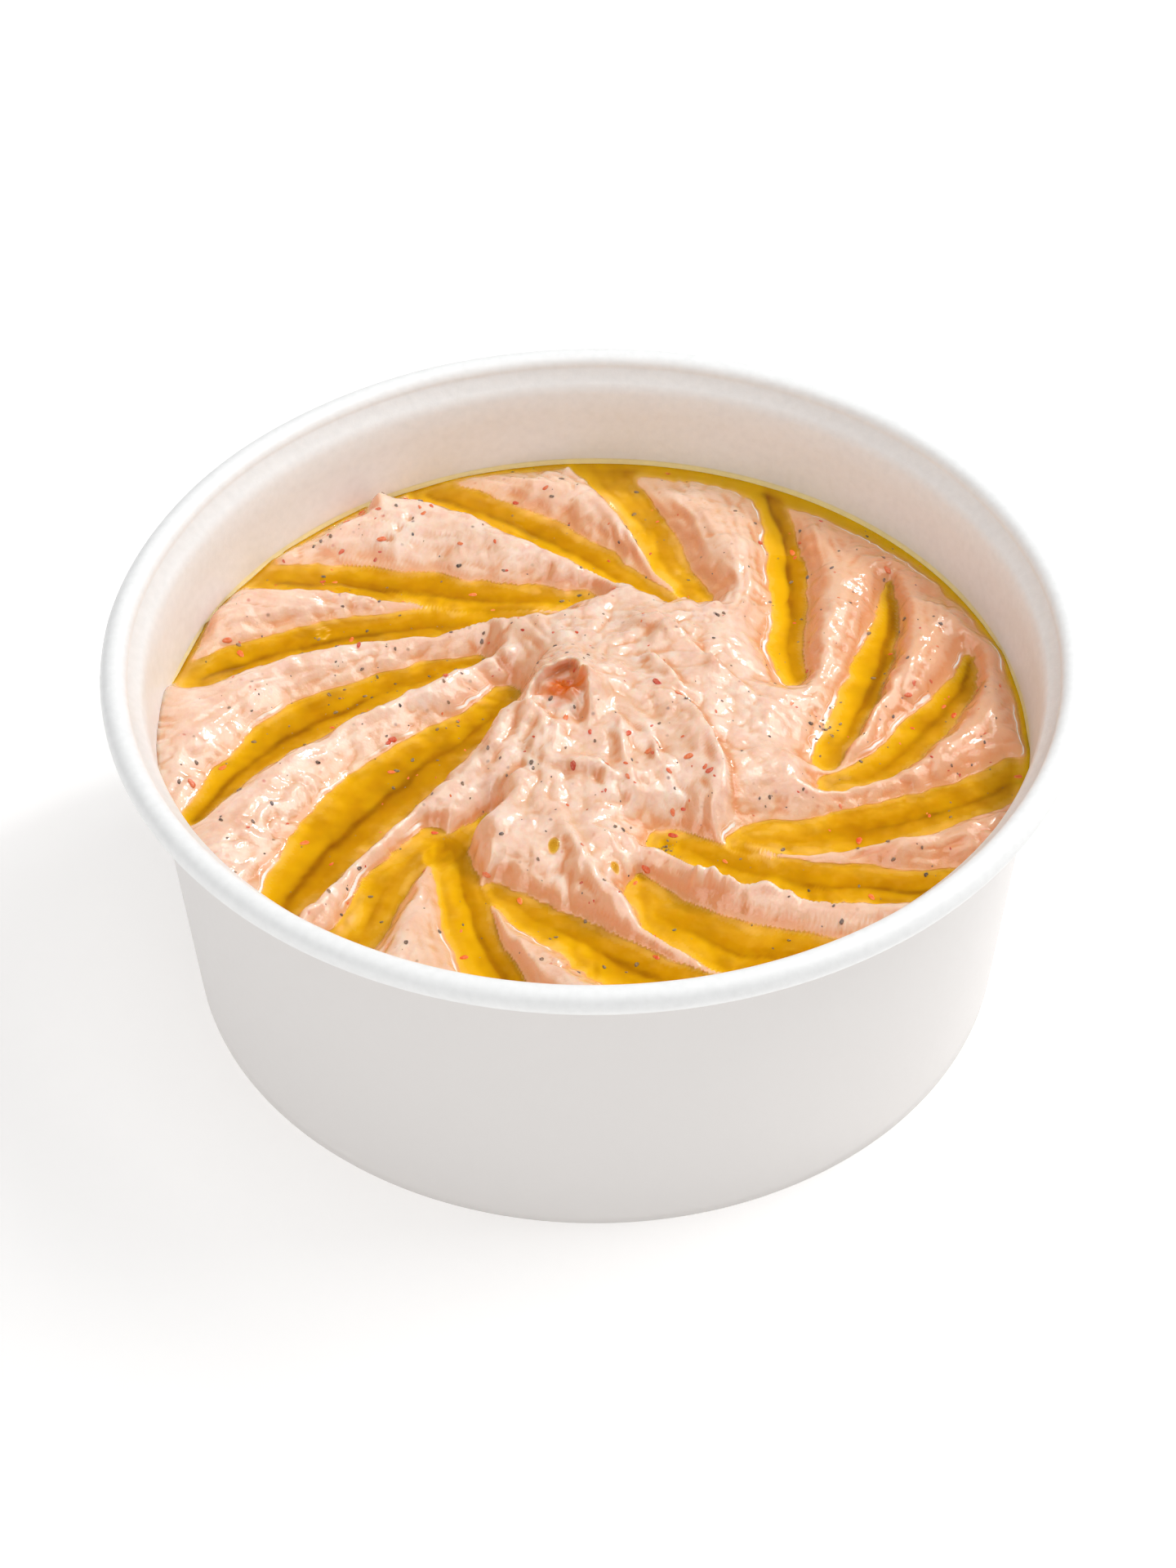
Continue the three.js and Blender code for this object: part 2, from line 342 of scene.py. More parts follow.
# Each groove has a width and a depth at its start, middle and end. "skew" above 0 makes its right side
# wider and slower to rise, and moves its deepest line to the left, looking outwards; "shift" moves the
# line alone. "slow" limits the slower bank. "trim" values are corrections in millimetres. Two short
# grooves in front give "left" and "right" themselves.
grooves = [
    {"from": (93, 30.5), "to": (144, 64), "bend": 0.42, "width": (1.8, 3.6, 2.6), "skew": 0.5,
     "depth": (2, 4.2, 3), "slow": 4.5, "trimLeft": (-1, -0.9, -0.2)},
    {"from": (101, 27.5), "to": (167, 64.5), "bend": 0.52, "width": (1, 3.3, 2.6), "skew": 0.5, "shift": 0.1,
     "depth": (1.2, 4, 3), "slow": 4.5, "trimLeft": (-0.3, 0, 0), "trimRight": (-0.7, -0.7, 0)},
    {"from": (137, 25), "to": (196, 65), "bend": 0.68, "width": (1.6, 4.2, 3), "skew": 0.4, "shift": 0.2,
     "depth": (2, 4.8, 3.5), "slow": 4.3, "trimLeft": (-0.2, -0.2, -1.6), "trimRight": (-1, -0.8, -2.3)},
    {"from": (147, 16), "to": (222, 65), "bend": 0.3, "width": (2.8, 7.2, 4), "skew": 0.2,
     "depth": (2.5, 5.6, 4), "banks": (1.9, 4.5), "trimLeft": (-1.2, -1.3, -1.6),
     "trimRight": (-0.4, -1.4, -2.2), "trimShift": (-0.2, -1.2, -1.4)},
    {"from": (224, 34), "to": (233, 62), "bend": 1, "shift": (0, 0, 0), "left": (2.2, 3.4, 3.6),
     "right": (2.6, 3.8, 4.2), "depth": (1.1, 1.6, 1.6), "banks": (3, 3)},
    {"from": (230, 25), "to": (230, 36), "bend": 1, "shift": (0, 0, 0), "left": (0.9, 1.9, 1.8),
     "right": (1, 2.2, 2.4), "depth": (0.9, 1.6, 1.8), "banks": (1.2, 2.6)},
    {"from": (229, 33), "to": (263, 65), "bend": 0.72, "width": (2, 3.4, 3.6), "skew": 0.25,
     "depth": (1.8, 4, 4)},
    {"from": (247, 38), "to": (291, 65), "bend": 0.6, "width": (1.6, 3.2, 3.4), "skew": 0.1,
     "depth": (1.6, 3.6, 4), "trimLeft": (0.2, 1.1, 1.3), "trimRight": (-0.2, -0.4, -0.5)},
    {"from": (280, 36), "to": (309, 65), "bend": 1, "width": (2.6, 4.6, 4.4), "skew": -0.35,
     "depth": (1, 3.8, 3.8), "slow": 4.4},
    {"from": (292, 27), "to": (329, 65.5), "bend": 0.66, "width": (2.4, 3.4, 2.6), "skew": -0.4,
     "depth": (2, 3.6, 3.2), "slow": 4.3},
    {"from": (313, 34), "to": (351, 65.5), "bend": 0.74, "width": (1.8, 3.2, 3.2), "skew": -0.4, "shift": 0.1,
     "depth": (1.5, 3.4, 3.4), "slow": 4.3, "trimLeft": (0.7, 0.7, 0)},
    {"from": (341, 39), "to": (375, 61.5), "bend": 1, "width": (2, 2.6, 2.4), "skew": -0.4, "shift": 0.3,
     "depth": (0.9, 3.4, 3.4), "slow": 4.3, "trimLeft": (0, 0, -2), "trimRight": (0, 0, -1.2)},
    {"from": (349, 37), "to": (395.5, 60.5), "bend": 0.7, "width": (2, 3.6, 1.8), "skew": -0.5, "shift": 0.5,
     "depth": (1.8, 5, 3.6), "slow": 4.5, "trimLeft": (-0.3, -1, -1.8), "trimRight": (-0.2, -0.9, -0.5),
     "trimShift": (0.3, 1, 1)},
    {"from": (22, 34), "to": (64, 65), "bend": 0.6, "width": (2, 2.8, 2.2), "skew": -0.2, "shift": 0.2,
     "depth": (2, 5, 4), "trimLeft": (0, 0, -1.9), "trimRight": (0, 0, -0.6)},
    {"from": (62, 35), "to": (89, 66), "bend": 0.7, "width": (1.6, 2.8, 2.8), "skew": 0.5, "shift": 0.2,
     "depth": (0.8, 1.6, 1.4), "slow": 4.5},
    {"from": (70, 33), "to": (114, 65), "bend": 0.62, "width": (1.6, 3, 2.4), "skew": 0.5,
     "depth": (1.8, 3.6, 2.8), "slow": 4.5},
]
mounds = [
    {"rise": 5.4, "spread": 17.0, "at": (-1, 1)},
    {"rise": 2.0, "spread": 5.2, "at": (-5, 5.0)},
]
# Soft folds over the mound. "seen" is where the photo shows a fold: pixels across and down, and the
# height over the table in millimetres. "path" is a fold set in millimetres from the bowl's middle.
# "sides" is how far it falls to the left and to the right.
folds = {
    "hood": {"seen": [(636, 840, 53.5), (658, 812, 53.5), (673, 796, 53.5), (694, 787, 53.5),
                      (711, 801, 53.5), (721, 830, 53.5), (720, 855, 53.5)],
             "rise": (0.5, 2.2, 0.3), "sides": (2.6, 0.55)},
    "shoulder": {"seen": [(579, 926, 45), (623, 884, 46.5), (662, 891, 47), (687, 914, 47)],
                 "rise": (0.4, 1.5, 0.4), "sides": (1.0, 3.6)},
    "lobe": {"seen": [(643, 947, 46.5), (608, 977, 45.5), (587, 1015, 44.5), (580, 1055, 43.5),
                      (592, 1096, 43)], "rise": (0.9, 1.4, 0.8), "sides": (6.0, 0.8)},
    "frontRidge": {"seen": [(679, 986, 46), (699, 1031, 45.5), (726, 1076, 44.5), (764, 1122, 43.5)],
                   "rise": (0.3, 1.1, 0.9), "sides": (1.1, 2.6)},
    "beadedRidge": {"seen": [(725, 1015, 45.5), (764, 1047, 45), (795, 1070, 44.5), (857, 1071, 44),
                             (908, 1090, 43.8), (978, 1095, 44)],
                    "rise": (0.7, 1.1, 0.6), "sides": (0.8, 2.4)},
    "tongue": {"seen": [(813, 854, 47.5), (844, 870, 47.5), (874, 913, 47), (887, 954, 46.5),
                        (894, 989, 46), (920, 1024, 44)], "rise": (0.6, 1.9, 0.8), "sides": (0.7, 4.2)},
    "smallFold": {"seen": [(794, 800, 48), (806, 814, 48), (834, 849, 47.5)], "rise": (0.3, 1.0, 0.4),
                  "sides": (0.7, 1.8)},
    "backEdge": {"seen": [(758, 750, 46.5), (801, 765, 46.5), (849, 804, 46.5), (895, 834, 46),
                          (929, 862, 45.5)], "rise": (0.3, 1.4, 0.6), "sides": (0.9, 5.0)},
    "fluteLeft": {"path": [(3.4, -4), (4.6, -10), (6.4, -18)], "rise": (0.3, 0.7, 0.2), "sides": (0.8, 1.2)},
    "fluteRight": {"path": [(8.0, -6), (9.6, -12), (12.6, -19)], "rise": (0.3, 0.7, 0.2),
                   "sides": (0.7, 1.1)},
    "frontFold": {"path": [(-8.6, -11.5), (-4.4, -14.2), (1.2, -15.0), (5.4, -18.4)],
                  "rise": (0.3, 0.9, 0.3), "sides": (2.2, 0.8)},
}
# small lumps and hollows: (x, y, rise, radius)
lumps = [
    (-37.8, -26.6, 0.7, 1.6), (-35.4, -25.2, 0.8, 1.2), (-39.6, -29.4, 0.6, 1.4), (-33.4, -27.4, 0.5, 1.1),
    (-22.6, 33.4, 0.8, 1.8), (-20.2, 36.8, 0.6, 1.5), (-14.8, 36.2, 0.7, 1.6), (-9.8, 33.2, 0.6, 1.2),
    (-34.6, 53.6, 2.6, 1.6), (-3.4, 64.4, 1.6, 1.3),
    (-33.6, 44.4, -0.8, 0.9), (-31.8, 46.2, -0.9, 0.9), (-30.2, 48.4, -0.7, 0.8), (-47.2, 13.6, 0.6, 1.1),
    (-38.6, 7.4, 0.5, 1.0), (30.4, 31.6, 0.6, 1.3), (36.2, 16.4, 0.5, 1.1), (45.6, 8.2, 0.6, 1.2),
    (15.2, -34.6, 1.4, 1.1), (17.6, -34.8, 1.6, 1.0), (19.6, -36.4, 1.2, 1.0), (25.4, -36.4, 1.5, 1.5),
    (29.2, -37.4, 0.9, 1.0), (33.4, -37.9, 1.0, 0.9), (36.6, -38.4, 1.2, 1.1), (39.4, -38.2, 0.9, 1.0),
    (-4.6, 2.6, -1.5, 2.2), (-5.6, 0.8, 1.1, 0.8), (-3.6, -0.8, 1.3, 0.9), (-3.9, 2.6, 0.9, 0.7),
    (-7.6, 0.6, -0.7, 1.3), (8.1, 15.4, -0.8, 1.7), (-2.9, -4.6, -0.8, 1.2),
    (-13.9, -20.8, -0.7, 1.7), (6.4, -31.6, -0.8, 1.1), (-2.4, -1.4, 0.8, 1.3), (-1.2, 3.0, 0.9, 0.9),
    (-6.8, -5.2, -0.7, 1.0), (2.6, 12.6, 0.6, 1.6),
]


def smoothMin(a, b, blend):
    overlap = np.maximum(blend - np.abs(a - b), 0) / blend
    return np.minimum(a, b) - overlap * overlap * blend / 4


def smoothStep(value, low, high):
    t = np.clip((value - low) / (high - low), 0, 1)
    return t * t * (3 - 2 * t)


def along(values, t):
    start, middle, end = values
    reached = np.where(t < 0.5, start, end)
    return reached + (middle - reached) * np.sin(np.pi * t)


def hill(x, y, place, spread):
    return np.exp(-((x - place[0]) ** 2 + (y - place[1]) ** 2) / spread ** 2)


def ripple(x, y, size, seed):
    places = zip((x / size).ravel(), (y / size).ravel())
    return np.array([noise.noise((a, b, seed)) for a, b in places]).reshape(x.shape)


def nearest(path, x, y):
    # distance to a path, which side of it, place from 0 to 1 and run in millimetres
    px, py = path
    length = np.concatenate([[0], np.cumsum(np.hypot(np.diff(px), np.diff(py)))])
    best = np.full(x.shape, 1e9)
    side, run = np.zeros(x.shape), np.zeros(x.shape)
    for i in range(len(px) - 1):
        dx, dy = px[i + 1] - px[i], py[i + 1] - py[i]
        share = np.clip(((x - px[i]) * dx + (y - py[i]) * dy) / (dx * dx + dy * dy), 0, 1)
        ex, ey = x - px[i] - share * dx, y - py[i] - share * dy
        distance = np.hypot(ex, ey)
        closer = distance < best
        best = np.where(closer, distance, best)
        lean = (dx * ey - dy * ex) / (np.hypot(dx, dy) * np.maximum(distance, 1e-6))
        side = np.where(closer, lean, side)
        run = np.where(closer, length[i] + (length[i + 1] - length[i]) * share, run)
    return best, side, run / length[-1], run


def grooveLine(groove, t):
    # places along the straight way in angle and radius that a groove takes
    (angle0, radius0), (angle1, radius1) = groove["from"], groove["to"]
    angle = np.radians(angle0 + (angle1 - angle0) * t ** groove["bend"])
    radius = radius0 + (radius1 - radius0) * t
    return radius * np.cos(angle), radius * np.sin(angle)


def grooveShape(groove):
    # widths to the left and right, shift of the deepest line, and how slowly the two banks rise
    if "left" in groove:
        return groove["left"], groove["right"], groove["shift"], groove["banks"]
    t = np.array([0.04, 0.5, 0.96])
    (x0, y0), (x1, y1) = grooveLine(groove, t - 0.02), grooveLine(groove, t + 0.02)
    ahead = (x1 - x0) / np.hypot(x1 - x0, y1 - y0)
    toFront = swirl["frontWiden"] * np.array([0.5, 1, 1])  # the side towards the viewer is wider
    width, skew = np.array(groove["width"]), groove["skew"]
    left = width * (1 - skew) + toFront * np.maximum(-ahead, 0) + groove.get("trimLeft", 0)
    right = width * (1 + skew) + toFront * np.maximum(ahead, 0) + groove.get("trimRight", 0)
    shift = width * (skew + groove.get("shift", 0)) + groove.get("trimShift", 0)
    banks = swirl["bank"] + swirl["bankSkew"] * skew * np.array([-1, 1])
    banks = groove.get("banks", np.minimum(banks, groove.get("slow", banks.max())))
    return left, right, shift, banks


def groovePath(groove, shift):
    # the crease line of one groove
    t = np.linspace(0, 1, swirl["steps"] + 1) ** 1.6
    x, y = grooveLine(groove, t)
    dx, dy = np.gradient(x), np.gradient(y)
    out = along(shift, t) * smoothStep(t, 0, 0.2)
    return x - dy / np.hypot(dx, dy) * out, y + dx / np.hypot(dx, dy) * out


def curvedPath(points):
    # smooth line through the given points
    p = np.array([points[0], *points, points[-1]], float)
    line = []
    for i in range(1, len(p) - 2):
        for t in np.linspace(0, 1, 6, endpoint=False):
            a, b = 2 * p[i], p[i + 1] - p[i - 1]
            c = 2 * p[i - 1] - 5 * p[i] + 4 * p[i + 1] - p[i + 2]
            d = -p[i - 1] + 3 * p[i] - 3 * p[i + 1] + p[i + 2]
            line.append((a + b * t + c * t ** 2 + d * t ** 3) / 2)
    line.append(p[-1])
    return np.array(line).T


# "shutAt" gives the angle and spread of each place where the labneh touches the paper
moat = {
    "narrow": 1.1, "widen": 2.3, "widestAngle": 67, "slope": 0.9, "blend": 1.5,
    "shutAt": [(181, 9), (338, 7), (207, 5)], "shutBy": 3.4, "shutRise": 6,
}
# each gives how far it reaches, its size and its seeds across and along
wander = [(0.8, 9, 3.1, 7.3), (0.45, 3.4, 5.7, 9.9), (0.2, 1.5, 6.7, 8.7)]
# heights and sizes of the uneven skin of the labneh
relief = {
    "streak": 0.35, "swell": (0.8, 7.0), "bead": (0.8, 3.4), "fineBead": (0.3, 1.7),
    "curd": (0.9, 4.2), "fineCurd": (0.35, 2.1), "flute": 1.3, "fluteTop": (-4, 6), "core": (18, 34),
}


def angleFrom(angle, place):
    return (angle - place + 180) % 360 - 180


def wallMoat(x, y, radius, angle):
    # the narrow trough of oil along the wall
    fromWidest = np.abs(angleFrom(angle, moat["widestAngle"]))
    width = moat["narrow"] + moat["widen"] * np.cos(np.radians(np.minimum(2 * fromWidest, 90)))
    width = width + 0.5 * ripple(x, y, 8, 2.2)
    for place, spread in moat["shutAt"]:
        width = width - moat["shutBy"] * np.exp(-(angleFrom(angle, place) / spread) ** 2)
    gap = wallRadius(swirl["oil"]) - radius
    shut = moat["shutRise"] * smoothStep(-width, -1.4, 1.4)
    return moat["slope"] * (gap / np.maximum(width, 0.3) - 1) + shut


def wandering(x, y):
    # every place moved about a little, so that no edge is even
    wx, wy = x, y
    for reach, size, seedX, seedY in wander:
        wx = wx + reach * ripple(x, y, size, seedX)
        wy = wy + reach * ripple(x, y, size, seedY)
    return wx, wy


def foldPath(fold):
    points = fold["path"] if "path" in fold else [seenAt(*point) for point in fold["seen"]]
    return curvedPath(points)


def ridgeTops(x, y, wx, wy):
    # height of the labneh before the spoon went through: ridges, mounds and folds
    wall = wallRadius(swirl["oil"])
    back = np.exp(-((np.degrees(np.arctan2(y, x)) - 64) / 36) ** 2)
    drop = swirl["dropWidth"] + 5 * back
    nearWall = smoothStep(np.hypot(x, y), wall - drop, wall)
    cap = swirl["crest"] - (swirl["wallDrop"] + 1.7 * back) * nearWall + 0.9 * ripple(x, y, 13, 1.0)
    for mound in mounds:
        away = np.hypot(wx - mound["at"][0], wy - mound["at"][1]) / mound["spread"]
        cap = cap + mound["rise"] * np.exp(-away ** swirl["moundPower"])
    for fold in folds.values():
        distance, side, place, _ = nearest(foldPath(fold), wx, wy)
        left, right = fold["sides"]
        fall = (left + right) / 2 + (left - right) / 2 * side
        fade = smoothStep(place, -0.1, 0.12) * smoothStep(-place, -1.1, -0.9)
        rise = swirl["foldScale"] * along(fold["rise"], place)
        cap = cap + rise * np.exp(-(distance / fall) ** 1.7) * fade
    return cap


def carved(cap, wx, wy):
    # the grooves taken out, with the deep creases, and the place across and along the nearest groove
    height = cap
    crease = np.zeros(wx.shape)
    flank = np.full(wx.shape, 1e9)
    across, runs = np.zeros(wx.shape), np.zeros(wx.shape)
    for index, groove in enumerate(grooves):
        left, right, shift, banks = grooveShape(groove)
        distance, side, place, run = nearest(groovePath(groove, shift), wx, wy)
        depth = swirl["depthShare"] * along(groove["depth"], place)
        leftShare = 0.5 + 0.5 * side
        half = along(left, place) * leftShare + along(right, place) * (1 - leftShare)
        bank = banks[0] * leftShare + banks[1] * (1 - leftShare)
        beyond = np.maximum(distance - half, 0)
        gentle = smoothStep(bank, 2.0, 5.0)
        below = swirl["bed"] * depth * (np.minimum(distance / half, 1) ** (0.6 + 0.6 * gentle) - 1)
        rise = cap * (1 - np.exp(-(beyond / bank) ** (1 + 0.35 * gentle)))
        height = smoothMin(height, below + rise, swirl["blend"])
        # the crease mask becomes painted shade along the deepest line of each groove
        deep = smoothStep(depth * place, 0.5, 1.3)
        crease = np.maximum(crease, np.exp(-(distance / 0.55) ** 2) * deep)
        closer = distance < flank
        flank = np.where(closer, distance, flank)
        across = np.where(closer, distance * np.sign(side) + 31 * index, across)
        runs = np.where(closer, run, runs)
    return height, crease, across, runs


def knobs(x, y, kind, seed):
    rise, size = relief[kind]
    return rise * np.abs(ripple(x, y, size, seed))


def mixedCurds(x, y, wx, wy):
    # curds on the mound, and flutes that run down from its top
    topX, topY = relief["fluteTop"]
    fromTop, turn = np.hypot(wx - topX, wy - topY), np.arctan2(wy - topY, wx - topX)
    flutes = np.array([noise.noise((5 * math.cos(a), 5 * math.sin(a), r / 13)) for a, r in
                       zip(turn.ravel(), fromTop.ravel())]).reshape(x.shape)
    curds = knobs(wx, wy, "curd", 22.0) + knobs(wx, wy, "fineCurd", 23.0)
    curds = curds * (0.35 + smoothStep(ripple(x, y, 6.5, 24.0), -0.2, 0.3))
    return curds + relief["flute"] * np.abs(flutes) * smoothStep(fromTop, 6, 15)


def swirlHeight(x, y):
    # height over the oil, how near a deep crease is, and streaks along the grooves
    wx, wy = wandering(x, y)
    radius, angle = np.hypot(x, y), np.degrees(np.arctan2(y, x))
    height, crease, across, runs = carved(ridgeTops(x, y, wx, wy), wx, wy)
    height = smoothMin(height, wallMoat(x, y, radius, angle), moat["blend"])
    clear = smoothStep(height, -0.4, 0.8)
    for lx, ly, rise, size in lumps:
        height = height + rise * hill(wx, wy, (lx, ly), size) * (clear if rise < 2 else 1)
    above = smoothStep(height, -0.6, 1.4)
    streaks = ripple(across * 9, runs, 9, 4.4) * smoothStep(radius, 24, 34)
    height = height + relief["streak"] * streaks * above
    lumpy = 0.35 + 0.9 * smoothStep(ripple(x, y, 11, 14.0), -0.05, 0.3)
    beads = knobs(wx, wy, "bead", 12.0) + knobs(wx, wy, "fineBead", 13.0)
    swell, swellSize = relief["swell"]
    skin = swell * ripple(x, y, swellSize, 11.0) + lumpy * (beads - 0.15)
    height = height + skin * (0.04 + 0.96 * above)
    core = 1 - smoothStep(radius, *relief["core"])
    height = height + core * (mixedCurds(x, y, wx, wy) - 0.5) * (0.1 + 0.9 * above)
    streak = 0.5 + 0.5 * ripple(across / 2.2, runs / 12, 1.0, 31.0) + 0.5 * ripple(x, y, 4.0, 32.0)
    return height, crease, streak


def discGrid(count, radius):
    # square grid bent onto a disc, finer over the mound
    u, v = np.meshgrid(np.linspace(-1, 1, count), np.linspace(-1, 1, count), indexing="ij")
    wide = np.abs(u) > np.abs(v)
    with np.errstate(divide="ignore", invalid="ignore"):
        turn = np.where(wide, np.pi / 4 * v / u, np.pi / 2 - np.pi / 4 * u / v)
    reach = np.where(wide, u, v)
    turn = np.where((u == 0) & (v == 0), 0, turn)
    reach = reach * (swirl["centreShare"] + (1 - swirl["centreShare"]) * reach * reach) * radius
    return reach * np.cos(turn), reach * np.sin(turn)


def gridFaces(count, cells):
    # quads over the chosen cells of the grid, and their border edges
    index = np.arange(count * count).reshape(count, count)
    corners = (index[:-1, :-1], index[1:, :-1], index[1:, 1:], index[:-1, 1:])
    upper = np.stack([corner[cells] for corner in corners], 1)
    edges = np.concatenate([upper[:, [i, (i + 1) % 4]] for i in range(4)])
    key = edges.min(1) * count * count + edges.max(1)
    inverse, times = np.unique(key, return_inverse=True, return_counts=True)[1:]
    return upper, edges[times[inverse] == 1]


def filledBody(name, x, y, top, rings):
    # height field whose border is drawn down through rings of (radius, height) to a flat base
    count = x.shape[0]
    upper, border = gridFaces(count, np.ones((count - 1, count - 1), bool))
    points = [np.stack([x.ravel(), y.ravel(), top.ravel()], 1)]
    faces = upper.tolist()
    rim = border[:, 0]
    follow = {start: i for i, start in enumerate(rim)}
    after = np.array([follow[end] for end in border[:, 1]])
    angle = np.arctan2(y.ravel()[rim], x.ravel()[rim])
    here, total = rim, count * count
    for radius, z in rings:
        points.append(np.stack([radius * np.cos(angle), radius * np.sin(angle), np.full(angle.shape, z)], 1))
        below = total + np.arange(len(rim))
        faces += np.stack([here[after], here, below, below[after]], 1).tolist()
        here, total = below, total + len(rim)
    points.append(np.array([[0, 0, rings[-1][1]]]))
    faces += np.stack([here[after], here, np.full(len(rim), total)], 1).tolist()
    return plainMesh(name, np.concatenate(points) * mm, faces)


def joinedCells(wanted):
    # no two cells may meet only at a corner
    while True:
        p, q = wanted[:-1, :-1] & wanted[1:, 1:], wanted[1:, :-1] & wanted[:-1, 1:]
        pinch = (p & ~wanted[1:, :-1] & ~wanted[:-1, 1:]) | (q & ~wanted[:-1, :-1] & ~wanted[1:, 1:])
        if not pinch.any():
            return wanted
        for i, j in ((0, 0), (1, 0), (0, 1), (1, 1)):
            rows = slice(i, wanted.shape[0] - 1 + i)
            columns = slice(j, wanted.shape[1] - 1 + j)
            wanted[rows, columns] |= pinch


def shell(name, x, y, top, bottom, cells):
    # closed body between two heights over the chosen cells
    upper, border = gridFaces(x.shape[0], cells)
    used = np.unique(upper)
    place = np.full(x.size, -1)
    place[used] = np.arange(len(used))
    n = len(used)
    flatX, flatY = x.ravel()[used], y.ravel()[used]
    layers = [np.stack([flatX, flatY, z.ravel()[used]], 1) for z in (top, bottom)]
    upper = place[upper]
    s, e = place[border[:, 0]], place[border[:, 1]]
    faces = np.concatenate([upper, upper[:, ::-1] + n, np.stack([e, s, s + n, e + n], 1)])
    return plainMesh(name, np.concatenate(layers) * mm, faces.tolist())


def blurred(field, rounds):
    for _ in range(rounds):
        padded = np.pad(field, 1, mode="edge")
        field = (padded[:-2, 1:-1] + padded[2:, 1:-1] + padded[1:-1, :-2] + padded[1:-1, 2:]) / 4
    return field


def slopes(x, y, height):
    xu, xv = np.gradient(x)
    yu, yv = np.gradient(y)
    hu, hv = np.gradient(height)
    area = xu * yv - xv * yu
    return (hu * yv - hv * yu) / area, (hv * xu - hu * xv) / area


def leanAway(x, y, height):
    # how far each place leans away from the light at the back right
    slopeX, slopeY = slopes(x, y, height)
    return (0.69 * slopeX + 0.25 * slopeY) / np.sqrt(1 + slopeX ** 2 + slopeY ** 2)


def creamColour(tree, place, shade, cloud):
    # pink and beige cream with red, brown and lilac specks, with painted shade in hollows, at the right and
    # on slopes away from the light, a painted orange glow under the mound's top, and darker where oil soaks
    # it
    cream = colourRamp(tree, cloud, [
        (0.25, (235, 187, 157)), (0.42, (247, 209, 184)), (0.58, (253, 222, 202)), (0.8, (255, 235, 221)),
    ])
    cream = tinted(tree, cream, shade, [(0.45, 0.0), (0.75, 0.5)], (233, 176, 154))
    speck = addNode(tree, "ShaderNodeTexVoronoi", Scale=620.0)
    tree.links.new(place, speck.inputs["Vector"])
    pick = addNode(tree, "ShaderNodeSeparateColor")
    tree.links.new(speck.outputs["Color"], pick.inputs["Color"])
    chosen = greyRamp(tree, pick.outputs["Red"], [(0.85, 0.0), (0.87, 0.75)])
    near = greyRamp(tree, speck.outputs["Distance"], [(0.08, 1.0), (0.26, 0.0)])
    speckTone = colourRamp(tree, pick.outputs["Green"], [
        (0.0, (120, 96, 96)), (0.45, (150, 112, 104)), (0.5, (206, 112, 84)),
        (0.8, (214, 96, 80)), (1.0, (190, 130, 160)),
    ])
    cream = mixColour(tree, times(tree, chosen, near), cream, speckTone)
    # painted shade, warmer and darker in hollows, at the right and on slopes away from the light
    paintedShade = attribute(tree, "paintedShade")
    cream = tinted(tree, cream, paintedShade, [(0.0, 0.0), (0.6, 0.8)], (238, 186, 146))
    cream = tinted(tree, cream, paintedShade, [(0.5, 0.0), (1.0, 0.85)], (234, 150, 94))
    # painted orange glow of light through the labneh in the hollow under the mound's top
    cream = tinted(tree, cream, attribute(tree, "paintedGlow"), [(0.2, 0.0), (0.6, 1.0)], (238, 120, 34))
    return tinted(tree, cream, attribute(tree, "soaked"), [(0.0, 0.0), (1.0, 0.65)], (236, 182, 126))


def goldColour(tree, thickness, cloud):
    # the labneh seen through oil, with streaks along the groove, and a painted lit side and a painted shaded
    # side on its bed
    gold = colourRamp(tree, thickness, [
        (0.0, (212, 160, 88)), (0.06, (208, 162, 40)), (0.14, (206, 162, 8)), (0.3, (194, 142, 2)),
        (0.55, (170, 114, 0)), (0.85, (134, 78, 0)),
    ])
    streak, shaded = attribute(tree, "streak"), attribute(tree, "shaded")
    gold = tinted(tree, gold, streak, [(0.5, 0.0), (0.9, 0.35)], (218, 172, 10))
    gold = tinted(tree, gold, cloud, [(0.5, 0.0), (0.66, 0.5)], (168, 122, 4))
    gold = tinted(tree, gold, streak, [(0.1, 0.35), (0.4, 0.0)], (150, 92, 0))
    gold = tinted(tree, gold, shaded, [(0.28, 0.7), (0.5, 0.0)], (228, 182, 14))
    return tinted(tree, gold, shaded, [(0.5, 0.1), (0.72, 0.6)], (176, 124, 2))


